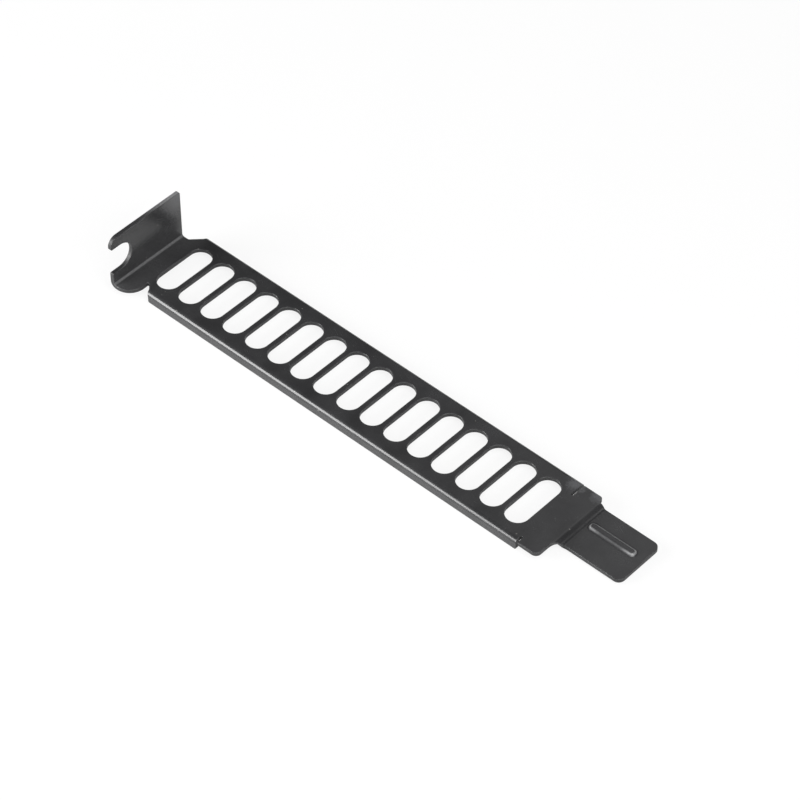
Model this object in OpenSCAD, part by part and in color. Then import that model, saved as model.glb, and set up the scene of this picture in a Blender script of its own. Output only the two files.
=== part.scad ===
// Vented cover for an expansion slot at the back of a computer case.
// It is one piece of folded sheet steel: a screw tab, a slotted face between
// two side flanges, a plain shoulder, and a tongue that is set back behind the
// face. It lies face up, with the tab standing.
//
// X runs along the cover from the side of the tab that seats on the case, and
// Y across it from the face's centre line. Shapes are drawn with Z = 0 on the
// face's outer surface. The finished cover is then lowered, so that its origin
// lies on the tab's seat, level with the middle of the screw notch.

/* [Sheet] */
// Thickness of the sheet
sheet_t = 0.85; // [0.6:0.05:1.2]
// Inside radius of the bend between tab and face
tab_bend_r = 0.5; // [0.2:0.1:1.2]
// Inside radius of the bends between face and side flanges
flange_bend_r = 0.15; // [0.1:0.05:0.5]

/* [Screw tab] */
// Height of the tab above the face
tab_h = 11.4; // [10:0.1:14]
// Reach of the tab from the centre line on the notch's side
tab_reach = 12.2; // [11:0.1:14]
// Reach of the tab from the centre line on the other side
tab_short_reach = 6.4; // [4:0.1:8]
// Radius of the tab's corner above the notch
tab_corner_r = 2.0; // [0.5:0.1:2.4]
// Radius of the tab's corner on its short side
tab_short_corner_r = 0.4; // [0.2:0.1:2]

/* [Screw notch] */
// Width of the notch
notch_w = 6.1; // [3.6:0.1:6.6]
// Depth of the notch from the tab's edge
notch_depth = 5.3; // [4:0.1:8]
// Height of the notch's middle above the face
notch_z = 5.8; // [5:0.1:7]

/* [Ear and slanted edges] */
// Length of the wide ear at the tab's foot
ear_l = 4.3; // [3:0.1:6]
// Radius of the ear's corner
ear_corner_r = 3.6; // [0.5:0.1:3.8]
// Width of the relief cut between the ear and the slanted edge beside it
ear_relief_w = 0.5; // [0.4:0.1:2.5]
// Distance of that cut's end from the centre line
ear_relief_y = 7.4; // [7:0.1:8.5]
// Distance from the tab's seat to the slanted edge on the tab's short side
slant_lead = 1.6; // [1.2:0.1:3]

/* [Face] */
// Width of the face over its side flanges
face_w = 19.0; // [18:0.1:22]
// Height of the side flanges over all
flange_h = 2.4; // [1.5:0.1:4]
// Width of the relief cuts at the flanges' far ends
end_relief_w = 0.7; // [0.4:0.1:1.5]
// Depth of the cut on the notch's side, from the face's edge
near_relief_depth = 1.6; // [1.2:0.1:4.5]
// Depth of the cut on the other side
far_relief_depth = 3.9; // [1.2:0.1:4.5]

/* [Vent slots] */
// Number of slots
slot_count = 16; // [4:1:24]
// Width of a slot, along the cover
slot_w = 4.88; // [2:0.02:8]
// Length of a slot, across the cover
slot_l = 13.2; // [8.5:0.1:13.6]
// Width of the bars between slots
bar_w = 1.03; // [0.6:0.01:3]
// Distance from the tab's seat to the first slot
slot_lead = 4.5; // [3:0.1:8]
// Distance from the last slot to the flanges' far ends
slot_tail = 1.7; // [1:0.1:6]

/* [Shoulder] */
// Length of the plain shoulder past the relief cuts
shoulder_l = 4.3; // [2:0.1:10]
// Width of the shoulder
shoulder_w = 18.5; // [17:0.1:22]
// Offset of the shoulder's centre line from the face's
shoulder_y = -0.3; // [-1:0.1:1]
// Radius of the shoulder's corner on the notch's side
shoulder_corner_r = 1.2; // [0.2:0.1:1.8]
// Radius of the shoulder's corner across from it
shoulder_far_r = 0.7; // [0.1:0.1:1.2]
// Radius of the shoulder's corners beside the relief cuts
relief_corner_r = 0.3; // [0.1:0.1:1]

/* [Tongue] */
// Length of the tongue past the shoulder
tongue_l = 14.4; // [13.8:0.1:25]
// Width of the tongue
tongue_w = 11.5; // [8:0.1:14]
// Offset of the tongue's centre line from the face's
tongue_y = 2.0; // [-2:0.1:2]
// Depth by which the tongue is set back behind the face
set_back = 1.0; // [0.5:0.1:1.3]
// Inside radius of the two bends that set it back
set_back_bend_r = 0.5; // [0.3:0.1:1]
// Radius of the corners at the tongue's end
tongue_corner_r = 1.4; // [0.3:0.1:3]
// Radius of the inside corner at the tongue's root, on the notch's side
root_r = 2.4; // [0.2:0.1:2.6]

/* [Rib] */
// Length of the rib pressed into the tongue
rib_l = 11.1; // [6:0.1:11.4]
// Width of the rib
rib_w = 2.2; // [1.9:0.1:3]
// Height of the rib above the tongue
rib_h = 0.5; // [0.2:0.05:0.6]
// Offset of the rib's centre line from the tongue's
rib_y = 1.0; // [-2:0.1:2]
// Distance from the rib to the tongue's end
rib_end_gap = 1.7; // [0.5:0.1:2]

/* [Hidden] */
$fn = 96;
// Overlap of shapes that are joined, and length of cutters past the sheet
lap = 0.01;
past = 5;
steel_black = [0.13, 0.13, 0.14];

half_w = face_w / 2;

// Places along the cover, in order
slot_pitch = slot_w + bar_w;
row_end = slot_lead + slot_count * slot_pitch - bar_w;
flange_end = row_end + slot_tail;
shoulder_start = flange_end + end_relief_w;
shoulder_end = shoulder_start + shoulder_l;
cover_end = shoulder_end + tongue_l;

// Edges of the shoulder and of the tongue, across the cover
shoulder_low = shoulder_y - shoulder_w / 2;
shoulder_high = shoulder_y + shoulder_w / 2;
tongue_low = tongue_y - tongue_w / 2;
tongue_high = tongue_y + tongue_w / 2;

// The slanted edges run out at 45 degrees to where each flange starts. Each
// crosses the line of its flange's bend as far before that as the bend is wide
near_slant_start = ear_l + ear_relief_w;
near_flange_start = near_slant_start + half_w - ear_relief_y;
far_flange_start = slant_lead + half_w - tab_short_reach;

// Outside radii of the bends
tab_outer_r = tab_bend_r + sheet_t;
flange_outer_r = flange_bend_r + sheet_t;
set_back_outer_r = set_back_bend_r + sheet_t;
near_bend_start = near_flange_start - flange_outer_r;
far_bend_start = far_flange_start - flange_outer_r;

// The tongue is set back by two equal bends, one after the other
set_back_angle = acos(1 - set_back / (set_back_bend_r + set_back_outer_r));
set_back_run = (set_back_bend_r + set_back_outer_r) * sin(set_back_angle);

// Radius of the bar whose top shows above the tongue as the rib
rib_r = (rib_w * rib_w / 4 + rib_h * rib_h) / (2 * rib_h);

// Part of a ring between two directions that are at most 90 degrees apart
module bend_section(inner_r, outer_r, from, to) {
    reach = 2 * outer_r;
    intersection() {
        difference() {
            circle(r = outer_r);
            circle(r = inner_r);
        }
        polygon([
            [0, 0],
            reach * [cos(from), sin(from)],
            reach * [cos((from + to) / 2), sin((from + to) / 2)],
            reach * [cos(to), sin(to)],
        ]);
    }
}

// What is cut away to round the corner at (x, y); sx and sy point into the sheet
module corner_cut(x, y, sx, sy, r) {
    translate([x, y]) mirror([sx < 0 ? 1 : 0, 0]) mirror([0, sy < 0 ? 1 : 0])
        difference() {
            translate([-lap, -lap]) square(r + lap);
            translate([r, r]) circle(r = r);
        }
}

// Slot with half-round ends, long along Y
module slot_outline(w, l) {
    straight = l - w;
    square([w, straight], center = true);
    for (side = [-1, 1])
        translate([0, side * straight / 2]) circle(d = w);
}

// Side view of the strip: tab, face, set-back bends and tongue
module side_view() {
    set_back_end = shoulder_end + set_back_run;
    translate([-sheet_t, tab_bend_r]) square([sheet_t, tab_h - tab_bend_r]);
    translate([tab_bend_r, tab_bend_r]) bend_section(tab_bend_r, tab_outer_r, 180, 270);
    translate([tab_bend_r, -sheet_t]) square([shoulder_end - tab_bend_r, sheet_t]);
    translate([shoulder_end, -set_back_outer_r])
        bend_section(set_back_bend_r, set_back_outer_r, 90 - set_back_angle, 90);
    translate([set_back_end, set_back_bend_r - set_back])
        bend_section(set_back_bend_r, set_back_outer_r, 270 - set_back_angle, 270);
    translate([set_back_end, -set_back - sheet_t])
        square([cover_end - set_back_end, sheet_t]);
}

// Plan of the tab's foot with its ear
module foot_plan() {
    difference() {
        translate([-sheet_t, -tab_reach])
            square([sheet_t + ear_l, tab_reach + tab_short_reach]);
        corner_cut(ear_l, -tab_reach, -1, 1, ear_corner_r);
    }
}

// Plan of the face with its slanted edges, up to the start of the shoulder
module face_plan() {
    near_neck = half_w - near_relief_depth;
    far_neck = half_w - far_relief_depth;
    polygon([
        [slant_lead, -ear_relief_y],
        [near_slant_start, -ear_relief_y],
        [near_flange_start, -half_w],
        [flange_end, -half_w],
        [flange_end, -near_neck],
        [shoulder_start + lap, -near_neck],
        [shoulder_start + lap, far_neck],
        [flange_end, far_neck],
        [flange_end, half_w],
        [far_flange_start, half_w],
        [slant_lead, tab_short_reach],
    ]);
}

// Plan of the shoulder
module shoulder_plan() {
    difference() {
        translate([shoulder_start, shoulder_low]) square([shoulder_l, shoulder_w]);
        corner_cut(shoulder_start, shoulder_low, 1, 1, relief_corner_r);
        corner_cut(shoulder_end, shoulder_low, -1, 1, shoulder_corner_r);
        corner_cut(shoulder_end, shoulder_high, -1, -1, shoulder_far_r);
        corner_cut(shoulder_start, shoulder_high, 1, -1, relief_corner_r);
    }
}

// Plan of the tongue. Its strip runs back through the shoulder, whose corners
// then can't cut into it. The rounded inside corner at its root ends at the
// shoulder's edge
module tongue_plan() {
    difference() {
        translate([shoulder_start, tongue_low])
            square([cover_end - shoulder_start, tongue_w]);
        corner_cut(cover_end, tongue_low, -1, 1, tongue_corner_r);
        corner_cut(cover_end, tongue_high, -1, -1, tongue_corner_r);
    }
    intersection() {
        corner_cut(shoulder_end, tongue_low, 1, -1, root_r);
        translate([shoulder_end - lap, shoulder_low]) square([root_r + lap, shoulder_w]);
    }
}

// The screw notch and the tab's rounded corners, drawn across and upward
module tab_cuts() {
    notch_end_y = notch_depth - tab_reach - notch_w / 2;
    translate([notch_end_y, notch_z]) circle(d = notch_w);
    translate([-tab_reach - past, notch_z - notch_w / 2])
        square([notch_end_y + tab_reach + past, notch_w]);
    corner_cut(-tab_reach, tab_h, 1, -1, tab_corner_r);
    corner_cut(tab_short_reach, tab_h, -1, -1, tab_short_corner_r);
}

// Strip folded as the side view shows and trimmed to the plan
module folded_strip() {
    strip_w = 2 * (tab_reach + face_w);
    difference() {
        intersection() {
            translate([0, strip_w / 2, 0]) rotate([90, 0, 0])
                linear_extrude(strip_w) side_view();
            translate([0, 0, -past]) linear_extrude(tab_h + 2 * past) {
                foot_plan();
                face_plan();
                shoulder_plan();
                tongue_plan();
            }
        }
        translate([-past, 0, 0]) rotate([90, 0, 90])
            linear_extrude(past + tab_bend_r) tab_cuts();
    }
}

// Band along the face's +Y edge that the flange's bend takes the place of
module edge_band(bend_start) {
    translate([bend_start, half_w - flange_outer_r, -past])
        cube([flange_end - bend_start, flange_outer_r + past, 2 * past]);
}

// Side flange and its bend along the face's +Y edge, trimmed by the slanted edge
module side_flange(bend_start) {
    difference() {
        translate([bend_start, half_w - flange_outer_r, -flange_outer_r]) rotate([90, 0, 90])
            linear_extrude(flange_end - bend_start) {
                bend_section(flange_bend_r, flange_outer_r, 0, 90);
                translate([flange_bend_r, flange_outer_r - flange_h])
                    square([sheet_t, flange_h - flange_outer_r]);
            }
        translate([bend_start, half_w - flange_outer_r, -flange_h - past])
            linear_extrude(flange_h + 2 * past)
                polygon([[-past, -past], [past, past], [-past, past]]);
    }
}

// Round-ended bar along the tongue, sunk so that only the rib stands out
module rib_bar(r) {
    span = rib_l - rib_w;
    start = cover_end - rib_end_gap - rib_w / 2 - span;
    translate([start, tongue_y + rib_y, rib_h - set_back - rib_r]) {
        rotate([0, 90, 0]) cylinder(r = r, h = span);
        for (x = [0, span]) translate([x, 0, 0]) sphere(r = r);
    }
}

module rib() {
    intersection() {
        rib_bar(rib_r);
        translate([0, -face_w, -set_back - sheet_t / 2])
            cube([cover_end, 2 * face_w, past]);
    }
}

module vent_slots() {
    for (i = [0 : slot_count - 1])
        translate([slot_lead + slot_w / 2 + i * slot_pitch, 0, -past])
            linear_extrude(2 * past) slot_outline(slot_w, slot_l);
}

module slot_cover() {
    color(steel_black) translate([0, 0, -notch_z]) difference() {
        union() {
            difference() {
                folded_strip();
                edge_band(far_bend_start);
                mirror([0, 1, 0]) edge_band(near_bend_start);
            }
            side_flange(far_bend_start);
            mirror([0, 1, 0]) side_flange(near_bend_start);
            rib();
        }
        rib_bar(rib_r - sheet_t);
        vent_slots();
    }
}

slot_cover();
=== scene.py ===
"""Looks of an expansion slot cover: one folded, black-coated sheet with vent slots.

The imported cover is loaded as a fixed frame. Its blank is laid out flat here, given
rounded cut edges, and folded again to the same sizes, so that the piece shown has the
edge radii, bends and pressed rib of the real sheet. Sizes are in millimetres until a
mesh, a lamp or the camera is made, and then in metres.
"""

import logging
import math
from dataclasses import dataclass, field, replace
from enum import Enum
from functools import reduce
from typing import NamedTuple

import bpy
import numpy as np
from bpy.types import Material, Node, NodeSocket, NodeTree, Object
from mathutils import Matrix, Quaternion, Vector
from mathutils.geometry import delaunay_2d_cdt


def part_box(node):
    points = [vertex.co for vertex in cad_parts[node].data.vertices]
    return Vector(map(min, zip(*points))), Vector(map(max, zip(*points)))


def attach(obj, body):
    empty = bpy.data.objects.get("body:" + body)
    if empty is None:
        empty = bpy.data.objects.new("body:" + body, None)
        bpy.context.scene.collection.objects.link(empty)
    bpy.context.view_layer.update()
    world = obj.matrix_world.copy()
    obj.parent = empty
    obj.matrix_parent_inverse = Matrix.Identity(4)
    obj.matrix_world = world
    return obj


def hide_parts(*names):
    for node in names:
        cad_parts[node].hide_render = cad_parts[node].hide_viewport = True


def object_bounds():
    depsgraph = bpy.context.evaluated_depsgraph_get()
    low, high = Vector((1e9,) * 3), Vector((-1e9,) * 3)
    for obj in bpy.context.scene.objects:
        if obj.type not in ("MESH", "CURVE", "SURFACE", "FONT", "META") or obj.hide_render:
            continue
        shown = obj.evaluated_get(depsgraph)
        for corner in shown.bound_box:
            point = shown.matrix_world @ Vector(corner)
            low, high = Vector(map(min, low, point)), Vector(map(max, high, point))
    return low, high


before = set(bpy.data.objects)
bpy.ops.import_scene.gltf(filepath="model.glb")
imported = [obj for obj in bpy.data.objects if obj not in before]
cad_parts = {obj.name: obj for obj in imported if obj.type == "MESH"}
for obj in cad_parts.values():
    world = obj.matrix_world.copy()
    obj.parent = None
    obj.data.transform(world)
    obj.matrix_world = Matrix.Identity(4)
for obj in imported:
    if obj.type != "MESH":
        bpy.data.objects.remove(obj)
CAD_LOW, CAD_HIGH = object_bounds()

LOG = logging.getLogger("slot_cover")
CAD_NODE = "slot_cover"
MM = 0.001
QUARTER_TURN = math.pi / 2
NEARLY_NOTHING = 1e-6
MIDDLE_NOISE = 0.5
WHITE = (1.0, 1.0, 1.0, 1.0)
AXES = {"X": (1, 0, 0), "Y": (0, 1, 0), "Z": (0, 0, 1)}


def towards(azimuth: float, elevation: float) -> Vector:
    """Returns a direction, by degrees from the notch's side towards the tongue and above the floor."""
    turn, rise = math.radians(azimuth), math.radians(elevation)
    return Vector((math.sin(turn) * math.cos(rise), -math.cos(turn) * math.cos(rise), math.sin(rise)))


def smooth_step(share: np.ndarray) -> np.ndarray:
    """Eases shares from 0 to 1, level at both ends."""
    return share * share * (3 - 2 * share)


def put_in_scene(name: str, data: object, place: Vector | None = None) -> Object:
    """Puts a new object in the scene.

    Args:
        name: The object's name.
        data: Its mesh, lamp or camera.
        place: Where it goes, in metres, unless that is the origin.

    Returns:
        The new object.
    """
    found = bpy.data.objects.new(name, data)
    if place is not None:
        found.location = place
    bpy.context.scene.collection.objects.link(found)
    return found


class Mark(Enum):
    """Names of the values stored on the sheet's points for its finish."""

    EDGE_GAP = "edge_gap"
    BLANK_PLACE = "blank_place"
    # Painted highlights round the rib's crest and along the tab's bend, with faint painted light beside the
    # bend.
    PAINTED_LIGHT = "painted_light"


class Finish(Enum):
    """Material slots of the folded sheet, in order."""

    FACE = 0
    CUT_EDGE = 1


# --- The blank: outlines in the flat, with u along the cover and v across it ---


@dataclass(frozen=True)
class Corner:
    """A corner of an outline in the flat blank: its place and its radius."""

    u: float
    v: float
    r: float


@dataclass(frozen=True)
class Outline:
    """A closed outline with the metal on its left, as points and outward normals."""

    points: np.ndarray
    normals: np.ndarray

    def inset(self, gap: float) -> np.ndarray:
        """Returns the outline moved into the metal by gap."""
        return self.points - self.normals * gap


@dataclass(frozen=True)
class OutlineMaker:
    """Rounds the corners of an outline and breaks its straight runs at the fold lines."""

    fold_rows: np.ndarray
    fold_columns: np.ndarray
    straight_step: float = 0.9
    arc_step: float = 0.24
    arc_turn: float = math.radians(15)
    least_run: float = 0.02
    same_place: float = 0.001

    def make(self, corners: list[Corner]) -> Outline:
        """Makes a closed outline.

        Args:
            corners: The corners in order, with the metal on the left.

        Returns:
            The outline, whose normals turn smoothly round every corner.
        """
        befores, afters = corners[-1:] + corners[:-1], corners[1:] + corners[:1]
        arcs = [self._arc(*near) for near in zip(befores, corners, afters)]
        points: list[np.ndarray] = []
        normals: list[np.ndarray] = []
        for here, after in zip(arcs, arcs[1:] + arcs[:1]):
            points.extend(here[0])
            normals.extend(here[1])
            for share in self._breaks(here[0][-1], after[0][0]):
                points.append(here[0][-1] * (1 - share) + after[0][0] * share)
                normals.append(here[1][-1])
        return self._without_repeats(np.array(points), np.array(normals))

    def _arc(self, before: Corner, here: Corner, after: Corner) -> tuple[list, list]:
        """Rounds one corner.

        Args:
            before: The corner before it.
            here: The corner to round.
            after: The corner after it.

        Returns:
            The points of its arc, and the outward normal at each.
        """
        place = np.array([here.u, here.v])
        inward = place - np.array([before.u, before.v])
        onward = np.array([after.u, after.v]) - place
        start_heading = math.atan2(inward[1], inward[0])
        turn = math.atan2(onward[1], onward[0]) - start_heading
        turn = (turn + math.pi) % (2 * math.pi) - math.pi
        bend = math.copysign(here.r, turn)
        start = place - inward / np.linalg.norm(inward) * here.r * math.tan(abs(turn) / 2)
        centre = start + bend * np.array([-math.sin(start_heading), math.cos(start_heading)])
        by_length = math.ceil(abs(turn) * here.r / self.arc_step)
        steps = max(2, by_length, math.ceil(abs(turn) / self.arc_turn))
        points, normals = [], []
        for heading in start_heading + turn * np.linspace(0, 1, steps + 1):
            outward = np.array([math.sin(heading), -math.cos(heading)])
            points.append(centre + bend * outward)
            normals.append(outward)
        return points, normals

    def _breaks(self, start: np.ndarray, end: np.ndarray) -> list[float]:
        """Finds where a straight run is broken: evenly, and where it crosses a fold line.

        Args:
            start: The run's start.
            end: Its end.

        Returns:
            The shares of the run at which it is broken, in order.
        """
        run = end - start
        length = float(np.linalg.norm(run))
        if length < NEARLY_NOTHING:
            return []
        shares = list(np.linspace(0, 1, math.ceil(length / self.straight_step) + 1)[1:-1])
        for lines, axis in ((self.fold_rows, 0), (self.fold_columns, 1)):
            if abs(run[axis]) > NEARLY_NOTHING:
                shares.extend((lines - start[axis]) / run[axis])
        clear = self.least_run / length
        kept: list[float] = []
        for share in sorted(shares):
            if clear < share < 1 - clear and (not kept or share - kept[-1] > clear):
                kept.append(float(share))
        return kept

    def _without_repeats(self, points: np.ndarray, normals: np.ndarray) -> Outline:
        """Returns the outline without points that lie on the one before them."""
        apart = np.linalg.norm(points - np.roll(points, 1, axis=0), axis=1) > self.same_place
        return Outline(points[apart], normals[apart])


# --- The parts of the cover, each with its own sizes ---


@dataclass(frozen=True)
class SteelSheet:
    """The sheet: its thickness, its bend radii and the rounding of its cut edges."""

    thickness: float
    tab_bend_r: float = 0.5
    flange_bend_r: float = 0.15
    set_back_bend_r: float = 0.5
    outer_edge_r: float = 0.08
    inner_edge_r: float = 0.05

    def middle_r(self, inside_r: float) -> float:
        """Returns the radius of the sheet's middle in a bend of that inside radius."""
        return inside_r + self.thickness / 2


@dataclass(frozen=True)
class ScrewTab:
    """The upright tab with its open screw notch, and the ear at its foot."""

    height: float
    reach: float
    short_reach: float = 6.4
    corner_r: float = 2.0
    short_corner_r: float = 0.4
    notch_w: float = 6.1
    notch_depth: float = 5.3
    notch_z: float = 5.8
    mouth_r: float = 0.3
    ear_l: float = 4.4
    ear_corner_r: float = 3.6
    ear_relief_w: float = 0.3
    ear_relief_r: float = 0.12
    ear_relief_y: float = 7.4
    neck_r: float = 0.6

    def corners(self, foot: "Fold") -> list[Corner]:
        """Lays out the tab's own corners on the notch's side.

        Args:
            foot: How the tab is folded up from the blank.

        Returns:
            The corners, from the tab's top down to the relief cut beside the ear.
        """
        top = foot.tab_u(self.height)
        notch_top = foot.tab_u(self.notch_z + self.notch_w / 2)
        notch_foot = foot.tab_u(self.notch_z - self.notch_w / 2)
        notch_v = self.notch_depth - self.reach
        return [
            Corner(top, -self.reach, self.corner_r),
            Corner(notch_top, -self.reach, self.mouth_r),
            Corner(notch_top, notch_v, self.notch_w / 2),
            Corner(notch_foot, notch_v, self.notch_w / 2),
            Corner(notch_foot, -self.reach, self.mouth_r),
            Corner(self.ear_l, -self.reach, self.ear_corner_r),
            Corner(self.ear_l, -self.ear_relief_y, self.ear_relief_r),
        ]


@dataclass(frozen=True)
class VentedFace:
    """The face with its row of vent slots, between two side flanges."""

    half_width: float
    flange_h: float = 2.4
    slant_lead: float = 1.6
    slant_r: float = 1.0
    slot_count: int = 16
    slot_w: float = 4.88
    slot_l: float = 13.2
    bar_w: float = 1.03
    slot_lead: float = 4.5
    slot_tail: float = 1.7
    near_relief_depth: float = 1.6
    far_relief_depth: float = 3.9
    relief_w: float = 0.45
    relief_r: float = 0.2
    flange_corner_r: float = 0.3

    @property
    def flange_end(self) -> float:
        """Where the flanges end along the cover."""
        row = self.slot_count * (self.slot_w + self.bar_w) - self.bar_w
        return self.slot_lead + row + self.slot_tail

    def slots(self) -> list[list[Corner]]:
        """Lays out the row of vent slots.

        Returns:
            The corners of each slot, with the metal on the left.
        """
        across = self.slot_l / 2
        found = []
        for i in range(self.slot_count):
            start = self.slot_lead + i * (self.slot_w + self.bar_w)
            end = start + self.slot_w
            places = ((start, -across), (start, across), (end, across), (end, -across))
            found.append([Corner(u, v, self.slot_w / 2) for u, v in places])
        return found


@dataclass(frozen=True)
class Tongue:
    """The plain shoulder, and the set-back tongue with its pressed rib."""

    end: float
    shoulder_l: float = 4.55
    shoulder_w: float = 18.5
    shoulder_y: float = -0.3
    near_corner_r: float = 1.2
    far_corner_r: float = 0.7
    width: float = 11.5
    y: float = 2.0
    set_back: float = 1.0
    corner_r: float = 1.4
    root_r: float = 2.7
    far_root_r: float = 0.2
    rib_l: float = 11.1
    rib_w: float = 2.2
    rib_h: float = 0.5
    rib_y: float = 1.0
    rib_end_gap: float = 1.7
    rib_crown: float = 0.25
    rib_foot: float = 0.1
    # Painted highlight lines round the rib's crest, strongest at its ends and faint on the near side.
    highlight_line: float = 0.66
    highlight_half_w: float = 0.3
    highlight_between_ends: float = 0.8
    highlight_near_side: float = 0.25

    def corners(self, face: VentedFace, fold: "Fold") -> list[Corner]:
        """Lays out the shoulder and the tongue.

        Args:
            face: The face that the shoulder ends.
            fold: How the tongue is set back.

        Returns:
            The corners from the near relief cut round the tongue to the far one.
        """
        start = face.flange_end + face.relief_w
        end = start + self.shoulder_l
        low = self.shoulder_y - self.shoulder_w / 2
        high = self.shoulder_y + self.shoulder_w / 2
        tongue_low = self.y - self.width / 2
        tongue_high = self.y + self.width / 2
        tip = fold.tongue_u(self.end)
        return [
            Corner(start, low, face.relief_r),
            Corner(end, low, self.near_corner_r),
            Corner(end, tongue_low, self.root_r),
            Corner(tip, tongue_low, self.corner_r),
            Corner(tip, tongue_high, self.corner_r),
            Corner(end, tongue_high, self.far_root_r),
            Corner(end, high, self.far_corner_r),
            Corner(start, high, face.relief_r),
        ]

    def rib_line(self, fold: "Fold") -> tuple[float, float, float]:
        """Finds the rib's middle line.

        Args:
            fold: How the tongue is set back.

        Returns:
            The places of its two ends along the blank, and the line's place across it.
        """
        last = self.end - self.rib_end_gap - self.rib_w / 2
        first = last - (self.rib_l - self.rib_w)
        return fold.tongue_u(first), fold.tongue_u(last), self.y + self.rib_y

    def rib_rise(self, flat: np.ndarray, fold: "Fold") -> tuple[np.ndarray, np.ndarray]:
        """Works out the rib's height over the tongue.

        Args:
            flat: Points in the blank, one row each.
            fold: How the blank is folded.

        Returns:
            The height at each point, and its slope along u and v.
        """
        first, last, v = self.rib_line(fold)
        nearest = np.stack([np.clip(flat[:, 0], first, last), np.full(len(flat), v)], axis=1)
        away = flat - nearest
        gap = np.linalg.norm(away, axis=1)
        half = self.rib_w / 2 + self.rib_foot
        share = np.clip((gap - self.rib_crown) / (half - self.rib_crown), 0, 1)
        height = self.rib_h * (1 - smooth_step(share))
        steepness = -self.rib_h * 6 * share * (1 - share) / (half - self.rib_crown)
        direction = away / np.maximum(gap, NEARLY_NOTHING)[:, None]
        return height, direction * steepness[:, None]

    def crest_highlight(self, flat: np.ndarray, fold: "Fold") -> np.ndarray:
        """Works out the painted highlight lines round the rib's crest.

        Args:
            flat: Points in the blank, one row each.
            fold: How the blank is folded.

        Returns:
            The painted highlight at each point, from none at 0 to the most at 1, which is at the rib's ends.
        """
        first, last, v = self.rib_line(fold)
        past_end = np.maximum(first - flat[:, 0], flat[:, 0] - last)
        gap = np.hypot(np.maximum(past_end, 0), flat[:, 1] - v)
        off_line = np.clip(np.abs(gap - self.highlight_line) / self.highlight_half_w, 0, 1)
        by_end = np.clip(1 + past_end / self.rib_w, 0, 1)
        least = self.highlight_between_ends
        side = np.where(flat[:, 1] < v, self.highlight_near_side, 1) * (1 - by_end) + by_end
        return (1 - smooth_step(off_line)) * (least + (1 - least) * by_end) * side


# --- Folding ---


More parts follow.
